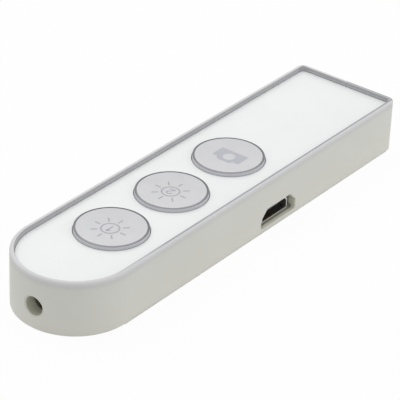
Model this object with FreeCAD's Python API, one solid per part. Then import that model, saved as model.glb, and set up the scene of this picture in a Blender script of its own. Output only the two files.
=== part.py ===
import FreeCAD
import Part
import math
import os

# Three-button remote shutter release: a moulded tub closed by a bonded faceplate, with a circuit
# board, three low-profile switches, a charging socket in the side wall and a flat cell in the
# square end. Millimetres. The part lies on its underside with +Z up, +X runs from the rounded end
# to the square end, and the origin is under the middle of the part.

os.makedirs("parts", exist_ok=True)

# Outside of the housing
LENGTH = 88.6
WIDTH = 21.5
HEIGHT = 10.3
END_CORNER = 1.5
BOTTOM_CHAMFER = 0.12
RIM_ROUND = 0.5

# Walls of the housing
WALL = 1.5
FLOOR = 1.0
CAVITY_CORNER = 0.8
RIM = 0.8
RIM_CORNER = 0.9
RIM_CHAMFER = 0.15
FLOOR_RIB = 0.8
FLOOR_RIB_HEIGHT = 0.6
FLOOR_RIB_SPACING = 7.4

# Faceplate in its recess, on a frame of adhesive tape
RECESS = 0.95
PLATE = 1.0
PLATE_GAP = 0.06
PLATE_CHAMFER = 0.06
TAPE = 0.15
TAPE_SETBACK = 0.08

# Press buttons, a row along X
BUTTON_FROM_TIP = 19.85
BUTTON_GAP = 3.05
CAP_SIDE_MARGIN = 4.3
CAP_BELOW_RIM = 0.3
LENS = 0.8
LENS_EDGE = 0.45
LENS_EDGE_DROP = 0.06
HOLE_GAP = 0.12
CAP_SKIRT = 0.9
CAP_WEB = 1.0
CAP_RIB = 0.8
CAP_RIB_SHARE = 0.45
STEM_SPAN = 3.0
TRAVEL = 0.25

# Four ears that keep a cap under the faceplate, two of them between guide ribs that stop it turning
EAR = 0.7
EAR_WIDTH = 2.0
EAR_GAP = 0.1
SIDE_EAR_REACH = 1.6
END_EAR_REACH = 0.8
GUIDE = 0.6
GUIDE_LENGTH = 0.9
GUIDE_GAP = 0.15
GUIDE_FROM_CAP = 1.0

# Low-profile switch under each button
SWITCH_SIDE = 5.2
SWITCH_BODY = 1.2
SWITCH_CORNER = 0.5
WELL_RADIUS = 1.9
SWITCH_COVER = 0.15
CLAW_WIDTH = 1.6
CLAW_DROP = 0.7
PLUNGER_RADIUS = 0.95
PLUNGER_FOOT = 2.6
PLUNGER_FOOT_HEIGHT = 0.3
PLUNGER_GAP = 0.1
PLUNGER_STANDS = 0.5
DOME_SPAN = 3.1
DOME_WIDTH = 2.0
DOME_RISE = 0.15
DOME_SHEET = 0.08
DOME_GAP = 0.05
DOME_SLOPE = 0.3

# Circuit board and its screws
BOARD = 1.0
BOARD_TUNNEL_GAP = 1.1
BOARD_PAST_BUTTON = 8.5
BOARD_SIDE_GAP = 0.5
BOARD_CORNER = 1.5
BOSS_RADIUS = 1.5
BOSS_INSET = 1.75
BOSS_FROM_ROUND_END = 3.05
GUSSET = 0.8
GUSSET_HEIGHT = 1.8
SUPPORT_SPAN = 3.0
SUPPORT_RIB = 0.8
SCREW_RADIUS = 0.7
SCREW_LENGTH = 2.2
SCREW_FIT = 0.03
SCREW_HOLE_GAP = 0.2
SCREW_HEAD_RADIUS = 1.3
SCREW_HEAD = 0.8
SCREW_TIP_GAP = 0.15

# Charging socket: a sheet shell under the board, its bevelled side against the board
PORT_PAST_BUTTON = 0.9
SHELL_WIDTH = 7.5
SHELL_HEIGHT = 2.5
SHELL_BEVEL = 0.7
SHELL_SHEET = 0.25
SHELL_DEPTH = 5.2
SHELL_SET_IN = 0.95
SHELL_FLOOR_GAP = 0.15
SHELL_TAB = 0.9
SHELL_TAB_STANDS = 0.45
SHELL_RELIEF = 0.3
TONGUE_BACK = 1.2
TONGUE_REACH = 3.4
TONGUE_WIDTH = 3.9
TONGUE = 0.6
TONGUE_DROP = 0.35
CONTACTS = 5
CONTACT_PITCH = 0.65
CONTACT_WIDTH = 0.35
CONTACT = 0.12
CONTACT_FROM_TIP = 0.36

# Cutout round the socket
CUTOUT_SIDE_GAP = 1.2
CUTOUT_UNDER_GAP = 0.4
CUTOUT_OVER_GAP = 0.65
CUTOUT_BEVEL = 1.6
CUTOUT_CORNER = 0.5
CUTOUT_CHAMFER = 0.15

# Lanyard tunnel: a short bore in at the rounded end, out through the underside by a wider slot
TUNNEL_Y = -0.25
TUNNEL_BELOW_RIM = 6.1
TUNNEL_RADIUS = 1.75
TUNNEL_DEPTH = 2.4
TUNNEL_WALL = 1.0
TUNNEL_LIP = 0.25
EXIT_LENGTH = 4.0
EXIT_WIDTH = 5.0
EXIT_CORNER = 0.6
EXIT_OVER = 0.35
EXIT_CHAMFER = 0.15

# Flat cell in the square end
CELL_HEIGHT = 5.0
CELL_END_GAP = 0.5
CELL_GAP = 0.15
CELL_RIB = 0.6
CELL_RIB_WIDTH = 1.0
CELL_RIB_RISE = 4.2
CELL_RIBS = 3
CELL_EDGE = 1.6
FOAM = 0.5
FOAM_INSET = 2.0
STOP_RIB = 1.0
STOP_RISE = 2.2
STOP_GAP = 0.2
GUARD_BOARD = 0.8
GUARD_WIDTH = 12.0
GUARD_HEIGHT = 3.2

# Lead connector on the board, and the two leads
SOCKET_BEFORE_BUTTON = 5.3
SOCKET_LENGTH = 4.2
SOCKET_WIDTH = 4.2
SOCKET_HEIGHT = 1.5
SOCKET_WALL = 0.25
PLUG_GAP = 0.05
PLUG_INSERTED = 3.0
PLUG_STANDS = 1.4
LATCH_WIDTH = 1.8
LATCH_GAP = 0.1
LEAD_ROOM = 5.5
LEAD_RADIUS = 0.35
LEAD_SIDES = 8
LEAD_PITCH = 1.3
LEAD_PITCH_AT_CELL = 2.6
LEAD_RISE = 0.7
LEAD_STRAIGHT_SHARE = 0.22
LEAD_CROSS_SHARE = 0.52
LEAD_TURN_SHARE = 0.45

# Chips on the board
RADIO_SIDE = 5.0
RADIO_HEIGHT = 0.85
RADIO_CHAMFER = 0.5
CRYSTAL_LENGTH = 3.2
CRYSTAL_WIDTH = 2.5
CRYSTAL_HEIGHT = 0.75
CRYSTAL_BASE = 0.3
CRYSTAL_CORNER = 0.3
CHARGER_LENGTH = 2.9
CHARGER_WIDTH = 1.6
CHARGER_HEIGHT = 1.1
CHARGER_LEG = 0.4
CHARGER_LEG_PITCH = 0.95
CHARGER_LEG_REACH = 0.8
CHARGER_STANDS = 0.12
ANTENNA_LENGTH = 7.0
ANTENNA_WIDTH = 2.0
ANTENNA_HEIGHT = 1.0
ANTENNA_CORNER = 0.25
ANTENNA_INSET = 1.0
CHIP_LENGTH = 1.0
CHIP_WIDTH = 0.5
CHIP_HEIGHT = 0.5
CHIP_PITCH = 1.4
CHIPS_IN_ROW = 4
CHIP_GAP = 0.5

# Heights and places that follow from the sizes above
CAVITY_HALF = WIDTH / 2 - WALL
ROUND_X = -LENGTH / 2 + WIDTH / 2
PLATE_TOP = HEIGHT - RECESS
PLATE_UNDER = PLATE_TOP - PLATE
LEDGE = PLATE_UNDER - TAPE
SHELL_LOW = FLOOR + SHELL_FLOOR_GAP
BOARD_UNDER = SHELL_LOW + SHELL_HEIGHT
BOARD_TOP = BOARD_UNDER + BOARD
BOARD_HALF = CAVITY_HALF - BOARD_SIDE_GAP
COVER_LOW = BOARD_TOP + SWITCH_BODY
COVER_TOP = COVER_LOW + SWITCH_COVER
PLUNGER_TOP = COVER_TOP + PLUNGER_STANDS
CAP_RADIUS = WIDTH / 2 - CAP_SIDE_MARGIN
CAP_TOP = HEIGHT - CAP_BELOW_RIM
LENS_LOW = CAP_TOP - LENS
EAR_TOP = PLATE_UNDER - EAR_GAP
EAR_LOW = EAR_TOP - EAR
DOME_CROWN = COVER_LOW - PLUNGER_GAP - PLUNGER_FOOT_HEIGHT - TRAVEL - DOME_GAP
WELL_LOW = DOME_CROWN - DOME_RISE
BUTTON_PITCH = 2 * CAP_RADIUS + BUTTON_GAP
BUTTON_CENTRES = [-LENGTH / 2 + BUTTON_FROM_TIP + place * BUTTON_PITCH for place in range(3)]
RADIO_X = BUTTON_CENTRES[0] + BUTTON_PITCH / 2
CHARGER_X = BUTTON_CENTRES[1] + BUTTON_PITCH / 2
PORT_X = BUTTON_CENTRES[2] + PORT_PAST_BUTTON
SHELL_FRONT = -WIDTH / 2 + SHELL_SET_IN
SHELL_BACK = SHELL_FRONT + SHELL_DEPTH
TUNNEL_Z = HEIGHT - TUNNEL_BELOW_RIM
EXIT_START = -LENGTH / 2 + TUNNEL_DEPTH
EXIT_END = EXIT_START + EXIT_LENGTH
EXIT_TOP = TUNNEL_Z + TUNNEL_RADIUS + EXIT_OVER
BOARD_START = EXIT_END + TUNNEL_WALL + BOARD_TUNNEL_GAP
BOARD_END = BUTTON_CENTRES[2] + BOARD_PAST_BUTTON
SCREW_Y = BOARD_HALF - BOSS_INSET
SCREWS = [(BOARD_START + BOSS_FROM_ROUND_END, SCREW_Y), (BOARD_END - BOSS_INSET, -SCREW_Y)]
GUARD_FACE = BOARD_END + LEAD_ROOM
CELL_START = GUARD_FACE + GUARD_BOARD
CELL_END = LENGTH / 2 - WALL - CELL_END_GAP
CELL_HALF = CAVITY_HALF - CELL_RIB - CELL_GAP
CELL_LOW = FLOOR + FOAM
GUARD_LOW = CELL_LOW + (CELL_HEIGHT - GUARD_HEIGHT) / 2
SOCKET_X = BUTTON_CENTRES[2] - SOCKET_BEFORE_BUTTON
SOCKET_Y = (SWITCH_SIDE / 2 + BOARD_HALF) / 2
PLUG_REAR = SOCKET_X + SOCKET_LENGTH + PLUG_STANDS
PLUG_MIDDLE = BOARD_TOP + SOCKET_HEIGHT / 2

# How far a shape runs into the one it joins, or a cutter runs past what it cuts
INTO = 0.2

# Largest difference between two coordinates that count as the same
SAME = 1e-4

UP = FreeCAD.Vector(0, 0, 1)


def point(x, y, z):
    return FreeCAD.Vector(x, y, z)


def block(x0, x1, y0, y1, z0, z1):
    return Part.makeBox(x1 - x0, y1 - y0, z1 - z0, point(x0, y0, z0))


def centred_block(x, y, length, width, z0, z1):
    return block(x - length / 2, x + length / 2, y - width / 2, y + width / 2, z0, z1)


def post(radius, x, y, z0, z1):
    return Part.makeCylinder(radius, z1 - z0, point(x, y, z0))


def turned(outline, x, y):
    """Solid of revolution from (radius, z) corners, about the upright axis through x, y."""
    corners = [point(x + radius, y, z) for radius, z in outline]
    face = Part.Face(Part.makePolygon(corners + corners[:1]))
    return face.revolve(point(x, y, 0), UP, 360)


def joined(solid, others):
    return solid.fuse(others).removeSplitter()


def rounded(shape, radius, chosen):
    return shape.makeFillet(radius, [edge for edge in shape.Edges if chosen(edge)])


def chamfered(shape, width, chosen):
    return shape.makeChamfer(width, [edge for edge in shape.Edges if chosen(edge)])


def at_height(z):
    """Test that picks the edges lying wholly at one height."""
    def chosen(edge):
        box = edge.BoundBox
        return abs(box.ZMin - z) < SAME and abs(box.ZMax - z) < SAME
    return chosen


def upright(edge):
    box = edge.BoundBox
    return box.XLength < SAME and box.YLength < SAME


def cornered_block(x, y, length, width, z0, z1, corner):
    return chamfered(centred_block(x, y, length, width, z0, z1), corner, upright)


def plan_outline(inset, corner, z):
    """Plan of the remote moved in by an inset: half circle at -X, rounded corners at +X."""
    half = WIDTH / 2 - inset
    end = LENGTH / 2 - inset
    middle = corner * (1 - math.sqrt(0.5))
    far = point(ROUND_X, half, z)
    far_corner = point(end - corner, half, z)
    far_end = point(end, half - corner, z)
    near_end = point(end, corner - half, z)
    near_corner = point(end - corner, -half, z)
    near = point(ROUND_X, -half, z)
    return Part.Wire([
        Part.makeLine(far, far_corner),
        Part.Arc(far_corner, point(end - middle, half - middle, z), far_end).toShape(),
        Part.makeLine(far_end, near_end),
        Part.Arc(near_end, point(end - middle, middle - half, z), near_corner).toShape(),
        Part.makeLine(near_corner, near),
        Part.Arc(near, point(ROUND_X - half, 0, z), far).toShape(),
    ])


def plan_solid(inset, corner, z0, z1):
    return Part.Face(plan_outline(inset, corner, z0)).extrude(point(0, 0, z1 - z0))


# Housing

def rounded_tub():
    """Outer form with its rounded edges, hollowed down to the floor, with a ledge and a rim."""
    body = plan_solid(0, END_CORNER, 0, HEIGHT)
    body = chamfered(body, BOTTOM_CHAMFER, at_height(0))
    body = rounded(body, RIM_ROUND, at_height(HEIGHT))
    body = body.cut(plan_solid(RIM, RIM_CORNER, LEDGE, HEIGHT + INTO))
    top = max((face for face in body.Faces if face.BoundBox.ZLength < SAME),
              key=lambda face: face.BoundBox.ZMin)
    inner = [wire for wire in top.Wires if not wire.isSame(top.OuterWire)][0]
    body = body.makeChamfer(RIM_CHAMFER, inner.Edges)
    return body.cut(plan_solid(WALL, CAVITY_CORNER, FLOOR, LEDGE + INTO))


def lanyard_block():
    """Mass of plastic that the lanyard tunnel runs through, grown from the rounded end."""
    half = EXIT_WIDTH / 2 + TUNNEL_WALL
    root = -LENGTH / 2 + WALL - INTO
    return block(root, EXIT_END + TUNNEL_WALL, TUNNEL_Y - half, TUNNEL_Y + half,
                 FLOOR - INTO, EXIT_TOP + TUNNEL_WALL)


def lanyard_tunnel():
    """Bore in from the rounded end, and a slot up from the underside."""
    start = -LENGTH / 2
    half = EXIT_WIDTH / 2
    bore = Part.makeCylinder(TUNNEL_RADIUS, TUNNEL_DEPTH + INTO, point(start, TUNNEL_Y, TUNNEL_Z),
                             point(1, 0, 0))
    slot = block(EXIT_START, EXIT_END, TUNNEL_Y - half, TUNNEL_Y + half, -INTO, EXIT_TOP)
    return rounded(slot, EXIT_CORNER, upright).fuse(bore)


def tunnel_rim(edge):
    """Picks the edge of the lanyard bore on the rounded end."""
    box = edge.BoundBox
    around = box.ZMin > TUNNEL_Z - TUNNEL_RADIUS - SAME and box.ZMax < TUNNEL_Z + TUNNEL_RADIUS + SAME
    return around and box.XMax < -LENGTH / 2 + TUNNEL_LIP


def exit_rim(edge):
    """Picks the edges of the lanyard slot on the underside."""
    box = edge.BoundBox
    return box.ZMax < SAME and box.XMin > EXIT_START - SAME and box.XMax < EXIT_END + SAME


def cutout():
    """Opening for the charging plug: bevelled above, rounded below, eased at the outside."""
    left = PORT_X - SHELL_WIDTH / 2 - CUTOUT_SIDE_GAP
    right = PORT_X + SHELL_WIDTH / 2 + CUTOUT_SIDE_GAP
    low = SHELL_LOW - CUTOUT_UNDER_GAP
    high = BOARD_UNDER + CUTOUT_OVER_GAP
    outside = -WIDTH / 2
    inside = outside + WALL + INTO
    corners = [(left, low), (right, low), (right, high - CUTOUT_BEVEL),
               (right - CUTOUT_BEVEL, high), (left + CUTOUT_BEVEL, high), (left, high - CUTOUT_BEVEL)]
    ring = [point(x, outside - INTO, z) for x, z in corners]
    face = Part.Face(Part.makePolygon(ring + ring[:1]))
    hole = face.extrude(point(0, inside - outside + INTO, 0))

    def lower_corner(edge):
        box = edge.BoundBox
        return box.XLength < SAME and box.ZMax < low + SAME
    return rounded(hole, CUTOUT_CORNER, lower_corner)


def cutout_rim(edge):
    """Picks the edge of the cutout on the outer face of the wall."""
    box = edge.BoundBox
    on_wall = box.YLength < SAME and abs(box.YMin + WIDTH / 2) < SAME
    reach = SHELL_WIDTH / 2 + CUTOUT_SIDE_GAP + SAME
    return on_wall and box.XMin > PORT_X - reach and box.XMax < PORT_X + reach


def board_boss(x, y):
    """Screw boss with a gusset to the nearer side wall and a pilot hole."""
    side = 1 if y > 0 else -1
    boss = post(BOSS_RADIUS, x, y, FLOOR - INTO, BOARD_UNDER)
    reach = sorted((y, side * (CAVITY_HALF + INTO)))
    gusset = block(x - GUSSET / 2, x + GUSSET / 2, reach[0], reach[1], FLOOR - INTO, FLOOR + GUSSET_HEIGHT)
    return boss.fuse(gusset)


def switch_support(x):
    """Two crossed ribs that carry the board under a switch."""
    return [centred_block(x, 0, SUPPORT_SPAN, SUPPORT_RIB, FLOOR - INTO, BOARD_UNDER),
            centred_block(x, 0, SUPPORT_RIB, SUPPORT_SPAN, FLOOR - INTO, BOARD_UNDER)]


def pilot_hole(x, y):
    depth = SCREW_LENGTH + SCREW_TIP_GAP
    return post(SCREW_RADIUS + SCREW_FIT, x, y, BOARD_UNDER - depth, BOARD_UNDER + INTO)


def cell_ribs():
    """Upright ribs on both side walls, which hold the cell from the sides."""
    ribs = []
    step = (CELL_END - CELL_START) / CELL_RIBS
    for place in range(CELL_RIBS):
        x = CELL_START + (place + 0.5) * step
        for side in (-1, 1):
            reach = sorted((side * (CELL_HALF + CELL_GAP), side * (CAVITY_HALF + INTO)))
            ribs.append(block(x - CELL_RIB_WIDTH / 2, x + CELL_RIB_WIDTH / 2, reach[0], reach[1],
                              FLOOR - INTO, FLOOR + CELL_RIB_RISE))
    return ribs


def cell_stop():
    """Low rib across the floor, between the board and the cell."""
    end = GUARD_FACE - STOP_GAP
    return block(end - STOP_RIB, end, -CAVITY_HALF - INTO, CAVITY_HALF + INTO,
                 FLOOR - INTO, FLOOR + STOP_RISE)


def floor_ribs():
    """Two stiffening ribs along the floor, under the board."""
    end = GUARD_FACE - STOP_GAP - STOP_RIB / 2
    return [block(BOARD_START, end, side * FLOOR_RIB_SPACING / 2 - FLOOR_RIB / 2,
                  side * FLOOR_RIB_SPACING / 2 + FLOOR_RIB / 2,
                  FLOOR - INTO, FLOOR + FLOOR_RIB_HEIGHT) for side in (-1, 1)]


def port_relief():
    """Pocket that keeps the floor ribs clear of the charging socket."""
    half = SHELL_WIDTH / 2 + SHELL_RELIEF
    return block(PORT_X - half, PORT_X + half, -CAVITY_HALF, SHELL_BACK + SHELL_RELIEF,
                 FLOOR, BOARD_UNDER)


def housing():
    tub = rounded_tub()
    inside = [lanyard_block(), cell_stop()] + floor_ribs() + cell_ribs()
    inside += [board_boss(x, y) for x, y in SCREWS]
    inside += [rib for x in BUTTON_CENTRES for rib in switch_support(x)]
    tub = joined(tub, inside)
    tub = tub.cut([pilot_hole(x, y) for x, y in SCREWS] + [port_relief(), cutout(), lanyard_tunnel()])
    tub = chamfered(tub, TUNNEL_LIP, tunnel_rim)
    tub = chamfered(tub, EXIT_CHAMFER, exit_rim)
    return chamfered(tub, CUTOUT_CHAMFER, cutout_rim)


# Faceplate and tape

def guide_pair(x, side):
    """Two ribs under the faceplate, one each side of a cap's ear."""
    near = CAP_RADIUS + GUIDE_FROM_CAP
    reach = sorted((side * near, side * (near + GUIDE_LENGTH)))
    offset = EAR_WIDTH / 2 + GUIDE_GAP
    ribs = []
    for hand in (-1, 1):
        edges = sorted((x + hand * offset, x + hand * (offset + GUIDE)))
        ribs.append(block(edges[0], edges[1], reach[0], reach[1], EAR_LOW, PLATE_UNDER + INTO))
    return ribs


def faceplate():
    inset = RIM + PLATE_GAP
    plate = plan_solid(inset, RIM_CORNER - PLATE_GAP, PLATE_UNDER, PLATE_TOP)
    plate = chamfered(plate, PLATE_CHAMFER, at_height(PLATE_TOP))
    plate = plate.cut([post(CAP_RADIUS + HOLE_GAP, x, 0, PLATE_UNDER - INTO, PLATE_TOP + INTO)
                       for x in BUTTON_CENTRES])
    guides = [rib for x in BUTTON_CENTRES for side in (-1, 1) for rib in guide_pair(x, side)]
    return joined(plate, guides)


def faceplate_tape():
    outer = RIM + PLATE_GAP + TAPE_SETBACK
    frame = plan_solid(outer, RIM_CORNER - PLATE_GAP, LEDGE, PLATE_UNDER)
    return frame.cut(plan_solid(WALL, CAVITY_CORNER, LEDGE - INTO, PLATE_UNDER + INTO))


# Buttons

def button_cap(x):
    """Hollow cap with a stem of crossed ribs and an ear on each of four sides."""
    web_low = LENS_LOW - CAP_WEB
    inner = CAP_RADIUS - CAP_SKIRT
    cap = turned([(0, LENS_LOW), (CAP_RADIUS, LENS_LOW), (CAP_RADIUS, EAR_LOW), (inner, EAR_LOW),
                  (inner, web_low), (0, web_low)], x, 0)
    span = 2 * (inner + INTO)
    rib_low = web_low - CAP_RIB_SHARE * (web_low - PLUNGER_TOP)
    ribs = [centred_block(x, 0, span, CAP_RIB, rib_low, web_low + INTO),
            centred_block(x, 0, CAP_RIB, span, rib_low, web_low + INTO),
            centred_block(x, 0, STEM_SPAN, CAP_RIB, PLUNGER_TOP, web_low + INTO),
            centred_block(x, 0, CAP_RIB, STEM_SPAN, PLUNGER_TOP, web_low + INTO)]
    root = inner + CAP_SKIRT / 2
    ears = []
    for side in (-1, 1):
        across = sorted((side * root, side * (CAP_RADIUS + SIDE_EAR_REACH)))
        along = sorted((x + side * root, x + side * (CAP_RADIUS + END_EAR_REACH)))
        ears.append(block(x - EAR_WIDTH / 2, x + EAR_WIDTH / 2, across[0], across[1], EAR_LOW, EAR_TOP))
        ears.append(block(along[0], along[1], -EAR_WIDTH / 2, EAR_WIDTH / 2, EAR_LOW, EAR_TOP))
    return joined(cap, ribs + ears)


def button_lens(x):
    """Clear disc bonded on the cap, with the sloping edge that shows as a dark ring."""
    return turned([(0, LENS_LOW), (CAP_RADIUS, LENS_LOW), (CAP_RADIUS, CAP_TOP - LENS_EDGE_DROP),
                   (CAP_RADIUS - LENS_EDGE, CAP_TOP), (0, CAP_TOP)], x, 0)


# Switches

def switch_body(x):
    """Moulded base with a round well for the dome and the plunger's foot."""
    body = cornered_block(x, 0, SWITCH_SIDE, SWITCH_SIDE, BOARD_TOP, COVER_LOW, SWITCH_CORNER)
    return body.cut(post(WELL_RADIUS, x, 0, WELL_LOW, COVER_LOW + INTO))


def switch_cover(x):
    """Sheet cover with a hole for the plunger and a claw bent down each of two sides."""
    cover = cornered_block(x, 0, SWITCH_SIDE, SWITCH_SIDE, COVER_LOW, COVER_TOP, SWITCH_CORNER)
    claws = []
    for side in (-1, 1):
        inner = side * SWITCH_SIDE / 2
        reach = sorted((inner, inner + side * SWITCH_COVER))
        claws.append(block(x - CLAW_WIDTH / 2, x + CLAW_WIDTH / 2, reach[0], reach[1],
                           COVER_TOP - CLAW_DROP, COVER_TOP))
    cover = joined(cover, claws)
    return cover.cut(post(PLUNGER_RADIUS + PLUNGER_GAP, x, 0, COVER_LOW - INTO, COVER_TOP + INTO))


def switch_plunger(x):
    """Round plunger kept in by a square foot under the cover."""
    foot_top = COVER_LOW - PLUNGER_GAP
    foot = centred_block(x, 0, PLUNGER_FOOT, PLUNGER_FOOT, foot_top - PLUNGER_FOOT_HEIGHT, foot_top)
    return joined(foot, [post(PLUNGER_RADIUS, x, 0, foot_top - PLUNGER_GAP, PLUNGER_TOP)])


def switch_dome(x):
    """Snap strip of thin sheet across the well, arched under the plunger's foot."""
    foot = DOME_SPAN / 2
    shoulder = foot - DOME_SLOPE
    outline = [(-foot, WELL_LOW), (DOME_SHEET - foot, WELL_LOW),
               (DOME_SHEET - shoulder, DOME_CROWN - DOME_SHEET),
               (shoulder - DOME_SHEET, DOME_CROWN - DOME_SHEET), (foot - DOME_SHEET, WELL_LOW),
               (foot, WELL_LOW), (shoulder, DOME_CROWN), (-shoulder, DOME_CROWN)]
    ring = [point(x + along, -DOME_WIDTH / 2, z) for along, z in outline]
    return Part.Face(Part.makePolygon(ring + ring[:1])).extrude(point(0, DOME_WIDTH, 0))


# Board and screws

def main_board():
    board = cornered_block((BOARD_START + BOARD_END) / 2, 0, BOARD_END - BOARD_START, 2 * BOARD_HALF,
                           BOARD_UNDER, BOARD_TOP, BOARD_CORNER)
    holes = [post(SCREW_RADIUS + SCREW_HOLE_GAP, x, y, BOARD_UNDER - INTO, BOARD_TOP + INTO)
             for x, y in SCREWS]
    return board.cut(holes)


def board_screws():
    screws = []
    for x, y in SCREWS:
        tip = BOARD_UNDER - SCREW_LENGTH
        screws.append(turned([(0, tip), (SCREW_RADIUS, tip), (SCREW_RADIUS, BOARD_TOP),
                              (SCREW_HEAD_RADIUS, BOARD_TOP),
                              (SCREW_HEAD_RADIUS, BOARD_TOP + SCREW_HEAD),
                              (0, BOARD_TOP + SCREW_HEAD)], x, y))
    return Part.makeCompound(screws)


# Charging socket

def socket_profile(grow, y):
    """Outline of the socket shell moved out by grow: square corners below, bevelled above."""
    half = SHELL_WIDTH / 2 + grow
    low = SHELL_LOW - grow
    high = BOARD_UNDER + grow
    bevel = SHELL_BEVEL + grow * (2 - math.sqrt(2))
    corners = [(-half, low), (half, low), (half, high - bevel), (half - bevel, high),
               (bevel - half, high), (-half, high - bevel)]
    ring = [point(PORT_X + x, y, z) for x, z in corners]
    return Part.Face(Part.makePolygon(ring + ring[:1]))


def socket_shell():
    """Folded sheet tube, open at the front, with a solder tab along each side under the board."""
    tube = socket_profile(0, SHELL_FRONT).extrude(point(0, SHELL_DEPTH, 0))
    bore = socket_profile(-SHELL_SHEET, SHELL_FRONT - INTO).extrude(point(0, SHELL_DEPTH + 2 * INTO, 0))
    tabs = []
    tab_end = SHELL_BACK - SHELL_SHEET
    for side in (-1, 1):
        root = PORT_X + side * (SHELL_WIDTH / 2 - SHELL_BEVEL)
        tip = PORT_X + side * (SHELL_WIDTH / 2 + SHELL_TAB_STANDS)
        reach = sorted((root, tip))
        tabs.append(block(reach[0], reach[1], tab_end - SHELL_TAB, tab_end,
                          BOARD_UNDER - SHELL_SHEET, BOARD_UNDER))
    return joined(tube, tabs).cut(bore)


def socket_insulator():
    """Plastic back of the socket with the tongue that carries the contacts."""
    back = socket_profile(-SHELL_SHEET, SHELL_BACK - TONGUE_BACK).extrude(point(0, TONGUE_BACK, 0))
    front = SHELL_BACK - TONGUE_BACK - TONGUE_REACH
    high = BOARD_UNDER - SHELL_SHEET - TONGUE_DROP
    tongue = block(PORT_X - TONGUE_WIDTH / 2, PORT_X + TONGUE_WIDTH / 2, front,
                   SHELL_BACK - TONGUE_BACK + INTO, high - TONGUE, high)
    return joined(back, [tongue])


def socket_contacts():
    """Row of contact strips under the tongue, from its back to near its tip."""
    start = SHELL_BACK - TONGUE_BACK - TONGUE_REACH + CONTACT_FROM_TIP
    end = SHELL_BACK - TONGUE_BACK
    high = BOARD_UNDER - SHELL_SHEET - TONGUE_DROP - TONGUE
    first = PORT_X - (CONTACTS - 1) * CONTACT_PITCH / 2
    strips = []
    for place in range(CONTACTS):
        x = first + place * CONTACT_PITCH
        strips.append(block(x - CONTACT_WIDTH / 2, x + CONTACT_WIDTH / 2, start, end,
                            high - CONTACT, high))
    return Part.makeCompound(strips)


# Chips

def radio_chip():
    """Square radio chip with one corner cut off to mark its first pin."""
    chip = centred_block(RADIO_X, 0, RADIO_SIDE, RADIO_SIDE, BOARD_TOP, BOARD_TOP + RADIO_HEIGHT)

    def first_pin(edge):
        box = edge.BoundBox
        return upright(edge) and box.XMin < RADIO_X and box.YMin > 0
    return chamfered(chip, RADIO_CHAMFER, first_pin)


def crystal():
    """Metal can on a ceramic base, midway between the radio chip and the board's edge."""
    y = -(RADIO_SIDE / 2 + BOARD_HALF) / 2
    base = centred_block(RADIO_X, y, CRYSTAL_LENGTH, CRYSTAL_WIDTH, BOARD_TOP, BOARD_TOP + CRYSTAL_BASE)
    can = cornered_block(RADIO_X, y, CRYSTAL_LENGTH - CRYSTAL_CORNER, CRYSTAL_WIDTH - CRYSTAL_CORNER,
                         BOARD_TOP + CRYSTAL_BASE / 2, BOARD_TOP + CRYSTAL_HEIGHT, CRYSTAL_CORNER)
    return joined(base, [can])


def charger_chip():
    """Small charger chip with three legs a side."""
    y = -BOARD_HALF / 2
    low = BOARD_TOP + CHARGER_STANDS
    body = centred_block(CHARGER_X, y, CHARGER_LENGTH, CHARGER_WIDTH, low, BOARD_TOP + CHARGER_HEIGHT)
    legs = []
    for place in (-1, 0, 1):
        legs.append(centred_block(CHARGER_X + place * CHARGER_LEG_PITCH, y, CHARGER_LEG,
                                  CHARGER_WIDTH + 2 * CHARGER_LEG_REACH, BOARD_TOP, low + INTO))
    return joined(body, legs)


def antenna():
    """Ceramic antenna at the rounded end of the board."""
    x = BOARD_START + ANTENNA_INSET + ANTENNA_WIDTH / 2
    return cornered_block(x, 0, ANTENNA_WIDTH, ANTENNA_LENGTH, BOARD_TOP, BOARD_TOP + ANTENNA_HEIGHT,
                          ANTENNA_CORNER)


def small_chips():
    """Rows of resistors and capacitors beside the radio and the charger."""
    from_radio = RADIO_SIDE / 2 + CHIP_GAP + CHIP_LENGTH / 2
    places = []
    for step in range(CHIPS_IN_ROW):
        along = (step - (CHIPS_IN_ROW - 1) / 2) * CHIP_PITCH
        places.append((RADIO_X - from_radio, along))
        places.append((RADIO_X + from_radio, along))
        places.append((CHARGER_X + along, 0))
    return Part.makeCompound([centred_block(x, y, CHIP_LENGTH, CHIP_WIDTH, BOARD_TOP,
                                            BOARD_TOP + CHIP_HEIGHT) for x, y in places])


# Cell, its leads and their connector

def cell():
    """Flat pouch cell with rounded long edges."""
    body = block(CELL_START, CELL_END, -CELL_HALF, CELL_HALF, CELL_LOW, CELL_LOW + CELL_HEIGHT)

    def lengthwise(edge):
        box = edge.BoundBox
        return box.YLength < SAME and box.ZLength < SAME
    return rounded(body, CELL_EDGE, lengthwise)


def cell_foam():
    return block(CELL_START + FOAM_INSET, CELL_END - FOAM_INSET, FOAM_INSET - CELL_HALF,
                 CELL_HALF - FOAM_INSET, FLOOR, CELL_LOW)


def guard_board():
    """Small protection board on the end of the cell."""
    return block(GUARD_FACE, CELL_START, -GUARD_WIDTH / 2, GUARD_WIDTH / 2,
                 GUARD_LOW, GUARD_LOW + GUARD_HEIGHT)


def lead_socket():
    """Board connector, open towards the cell."""
    body = block(SOCKET_X, SOCKET_X + SOCKET_LENGTH, SOCKET_Y - SOCKET_WIDTH / 2,
                 SOCKET_Y + SOCKET_WIDTH / 2, BOARD_TOP, BOARD_TOP + SOCKET_HEIGHT)
    half = SOCKET_WIDTH / 2 - SOCKET_WALL
    depth = PLUG_INSERTED + PLUG_GAP
    well = block(SOCKET_X + SOCKET_LENGTH - depth, SOCKET_X + SOCKET_LENGTH + INTO,
                 SOCKET_Y - half, SOCKET_Y + half, BOARD_TOP + SOCKET_WALL,
                 BOARD_TOP + SOCKET_HEIGHT - SOCKET_WALL)
    return body.cut(well)


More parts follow.
